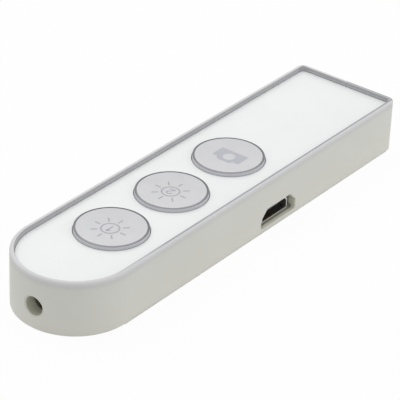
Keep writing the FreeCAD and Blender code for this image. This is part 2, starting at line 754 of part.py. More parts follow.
def lead_plug():
    """Plug of the leads, pushed into the board connector, with a latch ridge on top."""
    half = SOCKET_WIDTH / 2 - SOCKET_WALL - PLUG_GAP
    low = BOARD_TOP + SOCKET_WALL + PLUG_GAP
    high = BOARD_TOP + SOCKET_HEIGHT - SOCKET_WALL - PLUG_GAP
    front = SOCKET_X + SOCKET_LENGTH - PLUG_INSERTED
    body = block(front, PLUG_REAR, SOCKET_Y - half, SOCKET_Y + half, low, high)
    ridge = block(SOCKET_X + SOCKET_LENGTH + LATCH_GAP, PLUG_REAR, SOCKET_Y - LATCH_WIDTH / 2,
                  SOCKET_Y + LATCH_WIDTH / 2, high - INTO, high + SOCKET_WALL)
    return joined(body, [ridge])


def lead_points(place):
    """Corners of a lead's route from the plug to the protection board; place is -1 or 1."""
    plug_y = SOCKET_Y + place * LEAD_PITCH / 2
    cell_y = place * LEAD_PITCH_AT_CELL / 2
    cell_z = GUARD_LOW + GUARD_HEIGHT / 2
    straight = (GUARD_FACE - PLUG_REAR) * LEAD_STRAIGHT_SHARE
    crest_y = cell_y + (plug_y - cell_y) * LEAD_CROSS_SHARE
    crest_z = max(PLUG_MIDDLE, cell_z) + LEAD_RISE
    return [point(PLUG_REAR, plug_y, PLUG_MIDDLE),
            point(PLUG_REAR + straight, plug_y, PLUG_MIDDLE),
            point((PLUG_REAR + GUARD_FACE) / 2, crest_y, crest_z),
            point(GUARD_FACE - straight, cell_y, cell_z),
            point(GUARD_FACE, cell_y, cell_z)]


def lead_path(corners):
    """Straight runs joined by tangent arcs; returns the wire and the radius of each arc."""
    edges = []
    radii = []
    start = corners[0]
    for before, corner, after in zip(corners, corners[1:], corners[2:]):
        coming = (corner - before).normalize()
        going = (after - corner).normalize()
        half_turn = coming.getAngle(going) / 2
        setback = LEAD_TURN_SHARE * min(corner.distanceToPoint(before), corner.distanceToPoint(after))
        radius = setback / math.tan(half_turn)
        enter = corner - coming * setback
        leave = corner + going * setback
        inward = (going - coming).normalize()
        middle = corner + inward * (radius / math.cos(half_turn) - radius)
        edges.append(Part.makeLine(start, enter))
        edges.append(Part.Arc(enter, middle, leave).toShape())
        radii.append(radius)
        start = leave
    edges.append(Part.makeLine(start, corners[-1]))
    return Part.Wire(edges), radii


def lead(name, place):
    """Insulated lead swept along its route, with an eight-sided section."""
    corners = lead_points(place)
    path, radii = lead_path(corners)
    turn = 2 * math.pi / LEAD_SIDES
    ring = [corners[0] + point(0, LEAD_RADIUS * math.cos(turn * step), LEAD_RADIUS * math.sin(turn * step))
            for step in range(LEAD_SIDES)]
    tube = path.makePipeShell([Part.makePolygon(ring + ring[:1])], True, False)
    section = LEAD_SIDES / 2 * math.sin(turn) * LEAD_RADIUS ** 2
    expected = section * path.Length
    print(name, "arc radii", [round(radius, 2) for radius in radii], "length", round(path.Length, 2),
          "volume ratio", round(tube.Volume / expected, 4))
    return tube


def assembly():
    """Every piece of the remote by name."""
    pieces = {
        "housing": housing(),
        "faceplate": faceplate(),
        "faceplate_tape": faceplate_tape(),
        "main_board": main_board(),
        "board_screws": board_screws(),
        "charging_socket_shell": socket_shell(),
        "charging_socket_insulator": socket_insulator(),
        "charging_socket_contacts": socket_contacts(),
        "radio_chip": radio_chip(),
        "clock_crystal": crystal(),
        "charger_chip": charger_chip(),
        "chip_antenna": antenna(),
        "resistors_and_capacitors": small_chips(),
        "battery_cell": cell(),
        "battery_foam_tape": cell_foam(),
        "battery_protection_board": guard_board(),
        "battery_connector": lead_socket(),
        "battery_plug": lead_plug(),
        "battery_lead_red": lead("battery_lead_red", -1),
        "battery_lead_black": lead("battery_lead_black", 1),
    }
    names = ("light_button_1", "light_button_2", "shutter_button")
    for name, x in zip(names, BUTTON_CENTRES):
        pieces[name + "_cap"] = button_cap(x)
        pieces[name + "_lens"] = button_lens(x)
        pieces[name + "_switch_body"] = switch_body(x)
        pieces[name + "_switch_cover"] = switch_cover(x)
        pieces[name + "_switch_plunger"] = switch_plunger(x)
        pieces[name + "_switch_dome"] = switch_dome(x)
    return pieces


for node, shape in assembly().items():
    shape.exportStep("parts/" + node + ".step")
    print(node, "solids", len(shape.Solids), "valid", shape.isValid(), "volume", round(shape.Volume, 2))
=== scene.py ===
import math

import bmesh
import bpy
from mathutils import Matrix, Vector


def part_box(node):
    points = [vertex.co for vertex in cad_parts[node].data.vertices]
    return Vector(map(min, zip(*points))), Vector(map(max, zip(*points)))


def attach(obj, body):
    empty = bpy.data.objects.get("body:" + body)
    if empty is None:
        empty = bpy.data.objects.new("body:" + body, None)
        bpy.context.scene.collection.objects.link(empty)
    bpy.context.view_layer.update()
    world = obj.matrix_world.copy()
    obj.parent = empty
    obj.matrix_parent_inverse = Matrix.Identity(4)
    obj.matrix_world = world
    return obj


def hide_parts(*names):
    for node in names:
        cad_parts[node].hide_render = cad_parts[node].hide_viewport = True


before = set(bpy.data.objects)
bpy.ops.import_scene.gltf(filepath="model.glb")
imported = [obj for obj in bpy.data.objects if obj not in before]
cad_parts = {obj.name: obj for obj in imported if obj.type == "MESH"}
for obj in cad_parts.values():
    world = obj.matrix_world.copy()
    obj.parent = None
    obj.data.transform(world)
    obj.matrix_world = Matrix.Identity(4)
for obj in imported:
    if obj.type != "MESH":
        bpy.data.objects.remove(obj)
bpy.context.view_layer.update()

# Lengths are in metres, and MM turns millimetres into them
MM = 0.001

# Camera, solved from the straight sides, the rounded end and the three equal buttons
AZIMUTH = math.radians(-53.184)
ELEVATION = math.radians(30.832)
ROLL = math.radians(2.387)
DISTANCE = 387.113 * MM
CAMERA_RIGHT = -0.07 * MM
CAMERA_UP = 3.577 * MM
LENS_MM = 198.735
FILM_MM = 36
NEAREST_SEEN = 0.01
FARTHEST_SEEN = 10

# The tub from the frame. Its plan lies half a width round a middle line that ends at END_CENTRE.
tub_low, tub_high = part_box("housing")
ROUND_END = tub_low.x
SQUARE_END = tub_high.x
HALF_WIDTH = tub_high.y
TOP = tub_high.z
END_CENTRE = SQUARE_END - HALF_WIDTH

# Recess above the faceplate, painted darker as shade and darker again at its eased edge: the inner face of
# the rim, and the heights of its foot and its eased edge
RIM_INSIDE = HALF_WIDTH - 0.72 * MM
RECESS_FLOOR = TOP - 1.05 * MM
RECESS_EDGE = TOP - 0.5 * MM

# Painted shade line along the inner edge of the near rim, which fades out towards the rounded end
RIM_LINE = (HALF_WIDTH - 0.65 * MM, HALF_WIDTH - 0.33 * MM)
RIM_LINE_FLOOR = TOP - 0.4 * MM
RIM_LINE_FADE = (ROUND_END + 6.3 * MM, ROUND_END + 22.3 * MM)

# Faces inside the lanyard bore, before CUT_PARTING along X, painted darker as shade, and inside the
# socket's cutout, which lies after it, painted lighter as light, with a foot painted dark as shade
CUT_FACE = HALF_WIDTH - 0.13 * MM
CUT_FLOOR = 0.05 * MM
CUT_PARTING = 0.0
LAST_CUT = SQUARE_END - 14.3 * MM
FOOT_INSIDE = HALF_WIDTH - 0.78 * MM
FOOT_TOP = 1.3 * MM

# Shades of the wall by share of its height, all painted light: lighter below as painted bounce light, a
# painted shade line under the rim, and a cool painted reflection of the top light on the rim
WALL_SHADES = ((0.02, "#DADAD1"), (0.35, "#D2D2CA"), (0.84, "#CECEC7"), (0.91, "#C1C1BF"),
               (0.955, "#CACACD"), (0.99, "#D5D5D9"))
WALL_MOTTLE = 0.3

# Mottling: the detail of its noise, and the stops between which one shade turns into the other
PATCH_DETAIL = 4.0
PATCH_STOPS = (0.3, 0.7)

# Copper tracks under the board's solder mask: their pitch in millimetres, and half a track's share of it
TRACK_PITCH = 1.6
HALF_TRACK = 0.09

# Edge of a button's disc: a sloping ring round the printed field, painted dark grey as the shade that its
# clear edge shows, above a side that draws in. The ring's painted shade deepens between two shares of the
# way over the disc, and
# EDGE_MIDDLE is the share of the rounding at which its middle point lies.
DISC_DRAFT = 0.07 * MM
RING_WIDTH = 0.4 * MM
RING_DROP = 0.02 * MM
RING_SHADE = (0.25, 0.85)
EDGE_ROUND = 0.04 * MM
EDGE_MIDDLE = 0.3
DISC_STEPS = 160
SHARP_EDGE = math.radians(12)

# Printed symbols, and how far each kind sits off the middle of its disc
INK = 0.012 * MM
LINE = 0.26 * MM
DIGIT_LINE = 0.9 * LINE
LINE_END_STEPS = 6
CIRCLE_STEPS = 48
SUN_RING = 1.55 * MM
RAYS = 8
RAY_START = 2.25 * MM
RAY_END = 3.2 * MM
SIGN_LENS_UP = 0.38 * MM
SIGN_LENS_RADIUS = 1.12 * MM
SUN_SHIFT = Vector((-0.56 * MM, -0.18 * MM, 0))
SIGN_SHIFT = Vector((-0.02 * MM, -0.38 * MM, 0))

# Strokes of the digits and right half of the camera sign, as (across, up) in millimetres
DIGITS = {
    "1": [[(-0.36, 0.44), (0.05, 0.76)], [(0.05, 0.8), (0.05, -0.8)]],
    "2": [[(-0.5, 0.38), (-0.42, 0.62), (-0.2, 0.78), (0.08, 0.8), (0.34, 0.68), (0.46, 0.44),
           (0.4, 0.16), (0.16, -0.16), (-0.2, -0.48), (-0.5, -0.78), (0.52, -0.78)]],
}
SIGN_HALF = [(2.7, -1.55), (2.85, -1.4), (2.85, 1.3), (2.65, 1.5), (1.75, 1.5), (1.3, 2.2)]

# Floor: how far it reaches, how white it looks, the shade under the lanyard's slot, and the contact line
# along the sides
FLOOR_REACH = 1.6
FLOOR_CELLS = 8
FLOOR_DROP = 0.02 * MM
FLOOR_WHITE = 0.94
SLOT_CENTRE = (ROUND_END + 4.4 * MM, -0.25 * MM, 0)
SLOT_SHADE = 3.4 * MM
CONTACT_LINE = (HALF_WIDTH - 0.25 * MM, HALF_WIDTH)
CONTACT_END = SQUARE_END - 1.7 * MM

# Sky, and softboxes about as bright as it, so that gloss doesn't flare: place, side and watts
SKY_LIGHT = 0.66
SOFTBOXES = {
    "softbox_above": ((0.05, 0.3, 0.55), 0.74, 1.7),
    "softbox_front": ((0.35, -0.5, 0.25), 0.54, 0.9),
}
LIT_POINT = Vector((0, 0, 0.005))


# Small tools

def linear(hex_colour):
    """sRGB hex to linear RGBA."""
    colour = []
    for place in (1, 3, 5):
        part = int(hex_colour[place:place + 2], 16) / 255
        colour.append(part / 12.92 if part <= 0.04045 else ((part + 0.055) / 1.055) ** 2.4)
    return colour + [1.0]


def per_mm(size):
    """Pattern scale that repeats once in a size in millimetres."""
    return 1 / (size * MM)


def add(tree, kind, settings, inputs):
    """Adds a node with its settings; an input takes a value, a socket, or a node for its first result."""
    node = tree.nodes.new(kind)
    for name, value in settings.items():
        setattr(node, name, value)
    for name, value in inputs.items():
        if isinstance(value, bpy.types.Node):
            value = next(output for output in value.outputs if output.enabled)
        if isinstance(value, bpy.types.NodeSocket):
            tree.links.new(value, node.inputs[name])
        else:
            node.inputs[name].default_value = value
    return node


def new_finish(name):
    """Empty node material; returns it with its tree and its object coordinates."""
    material = bpy.data.materials.new(name)
    material.use_nodes = True
    tree = material.node_tree
    tree.nodes.clear()
    return material, tree, add(tree, "ShaderNodeTexCoord", {}, {}).outputs["Object"]


def mottled(tree, place, size, low, high):
    """Colour that drifts between two hex shades in patches of a size in millimetres."""
    noise = add(tree, "ShaderNodeTexNoise", {},
                {"Vector": place, "Scale": per_mm(size), "Detail": PATCH_DETAIL})
    ramp = add(tree, "ShaderNodeValToRGB", {}, {"Fac": noise})
    for stop, position, shade in zip(ramp.color_ramp.elements, PATCH_STOPS, (low, high)):
        stop.position = position
        stop.color = linear(shade)
    return ramp


def painted(tree, place, base, mask, size, low, high):
    """Base colour with a mottled one laid over it by a mask."""
    over = mottled(tree, place, size, low, high)
    return add(tree, "ShaderNodeMix", {"data_type": "RGBA"}, {"Factor": mask, "A": base, "B": over})


def grain(tree, place, size, depth, strength, detail=3.0, under=None):
    """Bump from fine noise, over another bump if one is given; size and depth in millimetres."""
    noise = add(tree, "ShaderNodeTexNoise", {}, {"Vector": place, "Scale": per_mm(size), "Detail": detail})
    relief = {"Height": noise, "Distance": depth * MM, "Strength": strength}
    if under is not None:
        relief["Normal"] = under
    return add(tree, "ShaderNodeBump", {}, relief)


ABOVE = "GREATER_THAN"
BELOW = "LESS_THAN"


def where(tree, *tests):
    """Mask that is 1 where all tests hold; a test is a value, ABOVE or BELOW, and its limit."""
    mask = None
    for value, side, limit in tests:
        holds = add(tree, "ShaderNodeMath", {"operation": side}, {0: value, 1: limit})
        mask = holds if mask is None else add(tree, "ShaderNodeMath", {"operation": "MULTIPLY"},
                                              {0: mask, 1: holds})
    return mask


def from_middle(tree, place):
    """Distance from the plan's middle line, and the X, Y and Z, at each point of the remote."""
    at = add(tree, "ShaderNodeSeparateXYZ", {}, {"Vector": place}).outputs
    from_round = add(tree, "ShaderNodeMath", {"operation": "ADD"}, {0: at["X"], 1: END_CENTRE})
    past_round = add(tree, "ShaderNodeMath", {"operation": "MINIMUM"}, {0: from_round, 1: 0.0})
    spoke = add(tree, "ShaderNodeCombineXYZ", {}, {"X": past_round, "Y": at["Y"]})
    across = add(tree, "ShaderNodeVectorMath", {"operation": "LENGTH"}, {0: spoke})
    past_square = add(tree, "ShaderNodeMath", {"operation": "SUBTRACT"}, {0: at["X"], 1: END_CENTRE})
    return add(tree, "ShaderNodeMath", {"operation": "MAXIMUM"}, {0: across, 1: past_square}), at


def over_disc(tree, along_x, along_y):
    """Share of the way over a disc, from its corner at low X and Y, by how much X and Y each count."""
    box_share = add(tree, "ShaderNodeTexCoord", {}, {}).outputs["Generated"]
    return add(tree, "ShaderNodeVectorMath", {"operation": "DOT_PRODUCT"},
               {0: box_share, 1: (along_x, along_y, 0)})


# Finishes of the outside

def spark_textured_abs():
    """Pale warm grey ABS, matt from spark erosion, with painted light and shade in its colour: lighter low
    on the wall, a cool painted reflection along the rim, painted shade under the rim, in the recess, in
    the bore and at the socket's foot, and painted light in the socket's cutout.

    The grain of fine spark erosion is about 0.05 mm and is drawn at 0.14 mm, so that it shows.
    """
    material, tree, place = new_finish("spark_textured_abs")
    distance, at = from_middle(tree, place)
    height = at["Z"]
    # Wall colour by height, with painted light: lighter below, a painted shade line under the rim and a
    # cool painted reflection on the rim
    share = add(tree, "ShaderNodeMath", {"operation": "DIVIDE"}, {0: height, 1: TOP})
    wall_with_painted_light = add(tree, "ShaderNodeValToRGB", {}, {"Fac": share})
    stops = wall_with_painted_light.color_ramp.elements
    for position, shade in WALL_SHADES:
        stops.new(position).color = linear(shade)
    stops.remove(stops[0])
    stops.remove(stops[-1])
    colour = painted(tree, place, wall_with_painted_light, WALL_MOTTLE, 6.0, "#CECEC8", "#D4D4CE")

    cut = ((distance, BELOW, CUT_FACE), (height, BELOW, RECESS_FLOOR), (height, ABOVE, CUT_FLOOR))
    cutout = cut + ((at["X"], ABOVE, CUT_PARTING), (at["X"], BELOW, LAST_CUT))
    bore_shade_mask = where(tree, *cut, (at["X"], BELOW, CUT_PARTING))
    cutout_light_mask = where(tree, *cutout)
    foot_shade_mask = where(tree, *cutout, (height, BELOW, FOOT_TOP), (distance, BELOW, FOOT_INSIDE))
    # Painted shade in the lanyard bore, painted light in the socket's cutout, and painted shade at the
    # cutout's foot
    colour = painted(tree, place, colour, bore_shade_mask, 2.0, "#CCCBBD", "#D2D1C3")
    colour = painted(tree, place, colour, cutout_light_mask, 2.0, "#DEDDCE", "#E4E3D4")
    colour = painted(tree, place, colour, foot_shade_mask, 2.0, "#A3A299", "#A9A89F")

    # Painted shade line along the near rim's inner edge
    line = where(tree, (distance, ABOVE, RIM_LINE[0]), (distance, BELOW, RIM_LINE[1]),
                 (at["Y"], BELOW, 0.0), (height, ABOVE, RIM_LINE_FLOOR))
    fade = add(tree, "ShaderNodeMapRange", {}, {"Value": at["X"], "From Min": RIM_LINE_FADE[0],
                                                "From Max": RIM_LINE_FADE[1]})
    faded_rim_shade = add(tree, "ShaderNodeMath", {"operation": "MULTIPLY"}, {0: line, 1: fade})
    colour = painted(tree, place, colour, faded_rim_shade, 6.0, "#9C9CA1", "#A2A2A7")

    # Painted shade in the recess above the faceplate, deeper at the rim's eased edge
    recess = ((distance, BELOW, RIM_INSIDE), (height, ABOVE, RECESS_FLOOR))
    recess_shade_mask = where(tree, *recess)
    edge_shade_mask = where(tree, *recess, (height, ABOVE, RECESS_EDGE))
    colour = painted(tree, place, colour, recess_shade_mask, 6.0, "#B5B5B8", "#BABABD")
    colour = painted(tree, place, colour, edge_shade_mask, 6.0, "#A8A8AB", "#AEAEB1")
    shader = add(tree, "ShaderNodeBsdfPrincipled", {},
                 {"Base Color": colour, "Roughness": 0.55, "IOR": 1.53,
                  "Normal": grain(tree, place, size=0.14, depth=0.012, strength=0.35)})
    add(tree, "ShaderNodeOutputMaterial", {}, {"Surface": shader})
    return material


def polished_white_abs():
    """Bright white ABS from a polished mould: an even satin gloss with a very slight waviness."""
    material, tree, place = new_finish("polished_white_abs")
    shader = add(tree, "ShaderNodeBsdfPrincipled", {},
                 {"Base Color": mottled(tree, place, 9.0, "#EDEFEE", "#F0F2F1"), "Roughness": 0.3,
                  "IOR": 1.53,
                  "Normal": grain(tree, place, size=4.0, depth=0.01, strength=0.15, detail=1.0)})
    add(tree, "ShaderNodeOutputMaterial", {}, {"Surface": shader})
    return material


def moulded_grey_abs():
    """Light grey ABS of the caps, straight from the mould: soft sheen, no texture to see."""
    material, tree, place = new_finish("moulded_grey_abs")
    shader = add(tree, "ShaderNodeBsdfPrincipled", {},
                 {"Base Color": mottled(tree, place, 3.0, "#CBCBCF", "#D0D0D4"), "Roughness": 0.42,
                  "IOR": 1.53, "Normal": grain(tree, place, size=0.2, depth=0.008, strength=0.3)})
    add(tree, "ShaderNodeOutputMaterial", {}, {"Surface": shader})
    return material


def back_printed_polycarbonate():
    """Polycarbonate disc printed pale lilac grey on its back: colour under gloss, with painted shade that
    deepens it to one side.
    """
    material, tree, place = new_finish("back_printed_polycarbonate")
    near = mottled(tree, place, 2.5, "#CFCFD2", "#D3D3D6")
    # Painted shade, deeper towards one side of the disc
    colour = painted(tree, place, near, over_disc(tree, along_x=0.5, along_y=0.5), 2.5,
                     "#C3C3C6", "#C7C7CA")
    shader = add(tree, "ShaderNodeBsdfPrincipled", {},
                 {"Base Color": colour, "Roughness": 0.38, "IOR": 1.58, "Coat Weight": 0.25,
                  "Coat Roughness": 0.2,
                  "Normal": grain(tree, place, size=0.3, depth=0.004, strength=0.25)})
    add(tree, "ShaderNodeOutputMaterial", {}, {"Surface": shader})
    return material


def clear_disc_edge():
    """Unprinted clear edge of the disc, painted as a grey ring for the shade that it shows, with painted
    shade that deepens it to one side.
    """
    material, tree, place = new_finish("clear_disc_edge")
    near = mottled(tree, place, 1.2, "#818188", "#898990")
    # Painted shade, much deeper towards one side of the ring
    depth = add(tree, "ShaderNodeMapRange", {}, {"Value": over_disc(tree, along_x=0.6, along_y=0.4),
                                                 "From Min": RING_SHADE[0], "From Max": RING_SHADE[1]})
    colour = painted(tree, place, near, depth, 1.2, "#1A1A20", "#222228")
    shader = add(tree, "ShaderNodeBsdfPrincipled", {},
                 {"Base Color": colour, "Roughness": 0.3, "IOR": 1.58})
    add(tree, "ShaderNodeOutputMaterial", {}, {"Surface": shader})
    return material


def screened_ink(name, low, high):
    """Screen-printed ink: matt, a touch uneven, one shade darker than the disc.

    The mesh of the screen leaves marks of about 0.03 mm, which are drawn at 0.06 mm, so that they show.
    """
    material, tree, place = new_finish(name)
    shader = add(tree, "ShaderNodeBsdfPrincipled", {},
                 {"Base Color": mottled(tree, place, 0.25, low, high), "Roughness": 0.6, "IOR": 1.5,
                  "Normal": grain(tree, place, size=0.06, depth=0.003, strength=0.3)})
    add(tree, "ShaderNodeOutputMaterial", {}, {"Surface": shader})
    return material


def nickel_plated_steel():
    """Pressed sheet steel under bright nickel: sharp silver with faint rolling lines.

    Rolling lines lie about 0.02 mm apart and are drawn at 0.06 to 0.1 mm, so that they show.
    """
    material, tree, place = new_finish("nickel_plated_steel")
    rolled = add(tree, "ShaderNodeMapping", {}, {"Vector": place, "Scale": (0.08, 1.0, 1.0)})
    shader = add(tree, "ShaderNodeBsdfPrincipled", {},
                 {"Base Color": mottled(tree, rolled, 0.1, "#C9C8C4", "#D6D5D1"), "Metallic": 1.0,
                  "Roughness": 0.28, "Normal": grain(tree, rolled, size=0.06, depth=0.002, strength=0.3)})
    add(tree, "ShaderNodeOutputMaterial", {}, {"Surface": shader})
    return material


def glass_filled_nylon():
    """Black glass-filled nylon: dull black with a fine speckle of fibre ends.

    A fibre end is about 0.01 mm across and is drawn at 0.08 mm, so that it shows.
    """
    material, tree, place = new_finish("glass_filled_nylon")
    shader = add(tree, "ShaderNodeBsdfPrincipled", {},
                 {"Base Color": mottled(tree, place, 0.08, "#1A1A1B", "#262627"), "Roughness": 0.55,
                  "IOR": 1.53, "Normal": grain(tree, place, size=0.08, depth=0.006, strength=0.4)})
    add(tree, "ShaderNodeOutputMaterial", {}, {"Surface": shader})
    return material


def gold_flashed_bronze():
    """Phosphor bronze strip with a gold flash: warm yellow, drawn lines along it.

    Drawn lines lie about 0.01 mm apart and are drawn here at 0.05 mm, so that they show.
    """
    material, tree, place = new_finish("gold_flashed_bronze")
    drawn = add(tree, "ShaderNodeMapping", {}, {"Vector": place, "Scale": (1.0, 0.08, 1.0)})
    shader = add(tree, "ShaderNodeBsdfPrincipled", {},
                 {"Base Color": mottled(tree, drawn, 0.05, "#D9AE5A", "#E8C172"), "Metallic": 1.0,
                  "Roughness": 0.25})
    add(tree, "ShaderNodeOutputMaterial", {}, {"Surface": shader})
    return material


# Finishes of the inside

def acrylic_tape():
    """Double-sided acrylic tape: off-white film with a pebbled adhesive face."""
    material, tree, place = new_finish("acrylic_tape")
    shader = add(tree, "ShaderNodeBsdfPrincipled", {},
                 {"Base Color": mottled(tree, place, 0.6, "#E6E3D6", "#EEEBDF"), "Roughness": 0.5,
                  "IOR": 1.47, "Normal": grain(tree, place, size=0.3, depth=0.02, strength=0.5)})
    add(tree, "ShaderNodeOutputMaterial", {}, {"Surface": shader})
    return material


def masked_glass_epoxy():
    """Glass-epoxy board under green solder mask: copper tracks show as lighter raised lines."""
    material, tree, place = new_finish("masked_glass_epoxy")
    cells = add(tree, "ShaderNodeTexVoronoi", {"distance": "MANHATTAN", "feature": "DISTANCE_TO_EDGE"},
                {"Vector": place, "Scale": per_mm(TRACK_PITCH), "Randomness": 0.55})
    tracks = where(tree, (cells.outputs["Distance"], BELOW, HALF_TRACK))
    colour = painted(tree, place, mottled(tree, place, 4.0, "#0E4A2A", "#125331"), tracks,
                     0.5, "#2B7A47", "#338650")
    weave = add(tree, "ShaderNodeTexWave", {}, {"Vector": place, "Scale": per_mm(1.0)})
    relief = add(tree, "ShaderNodeBump", {}, {"Height": tracks, "Distance": 0.03 * MM, "Strength": 0.5})
    cloth = add(tree, "ShaderNodeBump", {}, {"Height": weave.outputs["Fac"], "Distance": 0.004 * MM,
                                             "Strength": 0.3, "Normal": relief})
    shader = add(tree, "ShaderNodeBsdfPrincipled", {},
                 {"Base Color": colour, "Roughness": 0.32, "IOR": 1.5, "Normal": cloth})
    add(tree, "ShaderNodeOutputMaterial", {}, {"Surface": shader})
    return material


def zinc_plated_steel():
    """Cold-headed screws with clear zinc: pale blue-grey metal, slightly cloudy."""
    material, tree, place = new_finish("zinc_plated_steel")
    shader = add(tree, "ShaderNodeBsdfPrincipled", {},
                 {"Base Color": mottled(tree, place, 0.4, "#A9ACAF", "#BDC0C2"), "Metallic": 1.0,
                  "Roughness": 0.36, "Normal": grain(tree, place, size=0.15, depth=0.004, strength=0.4)})
    add(tree, "ShaderNodeOutputMaterial", {}, {"Surface": shader})
    return material


def moulded_epoxy():
    """Black epoxy of a chip package: matt, with the fine pits of transfer moulding.

    A pit is about 0.03 mm across and is drawn at 0.09 mm, so that it shows.
    """
    material, tree, place = new_finish("moulded_epoxy")
    shader = add(tree, "ShaderNodeBsdfPrincipled", {},
                 {"Base Color": mottled(tree, place, 0.2, "#232325", "#2C2C2E"), "Roughness": 0.6,
                  "IOR": 1.55, "Normal": grain(tree, place, size=0.09, depth=0.008, strength=0.5)})
    add(tree, "ShaderNodeOutputMaterial", {}, {"Surface": shader})
    return material


def drawn_metal_can():
    """Drawn and nickel-plated can of the crystal: bright with soft draw marks."""
    material, tree, place = new_finish("drawn_metal_can")
    shader = add(tree, "ShaderNodeBsdfPrincipled", {},
                 {"Base Color": mottled(tree, place, 0.3, "#CDCBC3", "#DAD8D0"), "Metallic": 1.0,
                  "Roughness": 0.22, "Normal": grain(tree, place, size=0.4, depth=0.004, strength=0.3)})
    add(tree, "ShaderNodeOutputMaterial", {}, {"Surface": shader})
    return material


def fired_ceramic(name, low, high):
    """Fired ceramic body: dense and matt, with a barely uneven colour."""
    material, tree, place = new_finish(name)
    shader = add(tree, "ShaderNodeBsdfPrincipled", {},
                 {"Base Color": mottled(tree, place, 0.35, low, high), "Roughness": 0.45, "IOR": 1.7,
                  "Normal": grain(tree, place, size=0.1, depth=0.004, strength=0.4)})
    add(tree, "ShaderNodeOutputMaterial", {}, {"Surface": shader})
    return material


def laminated_foil():
    """Aluminium laminate pouch: satin silver with soft creases from the vacuum seal."""
    material, tree, place = new_finish("laminated_foil")
    creases = grain(tree, place, size=3.0, depth=0.12, strength=0.4, detail=6.0)
    shader = add(tree, "ShaderNodeBsdfPrincipled", {},
                 {"Base Color": mottled(tree, place, 2.0, "#C3C5C8", "#D2D4D6"), "Metallic": 1.0,
                  "Roughness": 0.33,
                  "Normal": grain(tree, place, size=0.2, depth=0.006, strength=0.3, under=creases)})
    add(tree, "ShaderNodeOutputMaterial", {}, {"Surface": shader})
    return material


def cellular_foam():
    """Black cellular foam tape: open matt surface of small cut cells."""
    material, tree, place = new_finish("cellular_foam")
    cells = add(tree, "ShaderNodeTexVoronoi", {}, {"Vector": place, "Scale": per_mm(0.25)})
    relief = add(tree, "ShaderNodeBump", {}, {"Height": cells.outputs["Distance"], "Distance": 0.06 * MM,
                                              "Strength": 0.7})
    shader = add(tree, "ShaderNodeBsdfPrincipled", {},
                 {"Base Color": mottled(tree, place, 0.4, "#1C1C1C", "#282828"), "Roughness": 0.9,
                  "IOR": 1.5, "Normal": relief})
    add(tree, "ShaderNodeOutputMaterial", {}, {"Surface": shader})
    return material


def cream_nylon():
    """Natural nylon of the connector: cream, slightly waxy."""
    material, tree, place = new_finish("cream_nylon")
    shader = add(tree, "ShaderNodeBsdfPrincipled", {},
                 {"Base Color": mottled(tree, place, 1.0, "#E5DEC6", "#ECE6D0"), "Roughness": 0.4,
                  "IOR": 1.53, "Subsurface Weight": 0.08, "Subsurface Scale": 0.6 * MM,
                  "Normal": grain(tree, place, size=0.2, depth=0.006, strength=0.3)})
    add(tree, "ShaderNodeOutputMaterial", {}, {"Surface": shader})
    return material


def extruded_pvc(name, low, high):
    """Extruded PVC of a lead: smooth, soft gloss, faint lengthwise draw lines.

    Draw lines lie about 0.03 mm apart and are drawn here at 0.1 mm, so that they show.
    """
    material, tree, place = new_finish(name)
    drawn = add(tree, "ShaderNodeMapping", {}, {"Vector": place, "Scale": (0.1, 1.0, 1.0)})
    shader = add(tree, "ShaderNodeBsdfPrincipled", {},
                 {"Base Color": mottled(tree, place, 1.5, low, high), "Roughness": 0.35, "IOR": 1.53,
                  "Normal": grain(tree, drawn, size=0.1, depth=0.004, strength=0.3)})
    add(tree, "ShaderNodeOutputMaterial", {}, {"Surface": shader})
    return material


FINISHES = {
    "housing_abs": spark_textured_abs(),
    "faceplate_white": polished_white_abs(),
    "cap_grey": moulded_grey_abs(),
    "lens_printed": back_printed_polycarbonate(),
    "tape": acrylic_tape(),
    "board_green": masked_glass_epoxy(),
    "screw_steel": zinc_plated_steel(),
    "socket_steel": nickel_plated_steel(),
    "black_nylon": glass_filled_nylon(),
    "contact_gold": gold_flashed_bronze(),
    "chip_black": moulded_epoxy(),
    "can_steel": drawn_metal_can(),
    "ceramic_white": fired_ceramic("fired_white_ceramic", "#D8D9D2", "#E0E1DA"),
    "chip_ceramic": fired_ceramic("fired_tan_ceramic", "#8A6B4C", "#9A7C5B"),
    "pouch_foil": laminated_foil(),
    "foam_black": cellular_foam(),
    "connector_cream": cream_nylon(),
    "lead_red": extruded_pvc("extruded_red_pvc", "#B01A16", "#BE2420"),
    "lead_black": extruded_pvc("extruded_black_pvc", "#1B1B1C", "#252526"),
}
DISC_EDGE = clear_disc_edge()
LINE_INK = screened_ink("grey_line_ink", "#A6A4AC", "#AEACB4")
PANEL_INK = screened_ink("pale_panel_ink", "#B4B4BC", "#B9B9C1")

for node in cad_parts.values():
    for slot in node.material_slots:
        slot.material = FINISHES[slot.material.name]


# Button discs

def mesh_object(name, work, finishes):
    """Object from a bmesh, with its finishes in slot order."""
    mesh = bpy.data.meshes.new(name)
    bmesh.ops.recalc_face_normals(work, faces=work.faces)
    work.to_mesh(mesh)
    work.free()
    for finish in finishes:
        mesh.materials.append(finish)
    piece = bpy.data.objects.new(name, mesh)
    bpy.context.scene.collection.objects.link(piece)
    return piece


def turned_mesh(centre, outline, bands):
    """Closed mesh turned about an upright axis; each band between two outline points has its finish."""
    work = bmesh.new()
    rings = []
    for radius, height in outline:
        if radius == 0:
            rings.append([work.verts.new((centre.x, centre.y, height))])
            continue
        ring = []
        for step in range(DISC_STEPS):
            angle = math.tau * step / DISC_STEPS
            ring.append(work.verts.new((centre.x + radius * math.cos(angle),
                                        centre.y + radius * math.sin(angle), height)))
        rings.append(ring)
    for lower, upper, band in zip(rings, rings[1:], bands):
        for step in range(DISC_STEPS):
            after = (step + 1) % DISC_STEPS
            corners = [lower[step % len(lower)], lower[after % len(lower)],
                       upper[after % len(upper)], upper[step % len(upper)]]
            face = work.faces.new(list(dict.fromkeys(corners)))
            face.material_index = band
            face.smooth = True
    return work


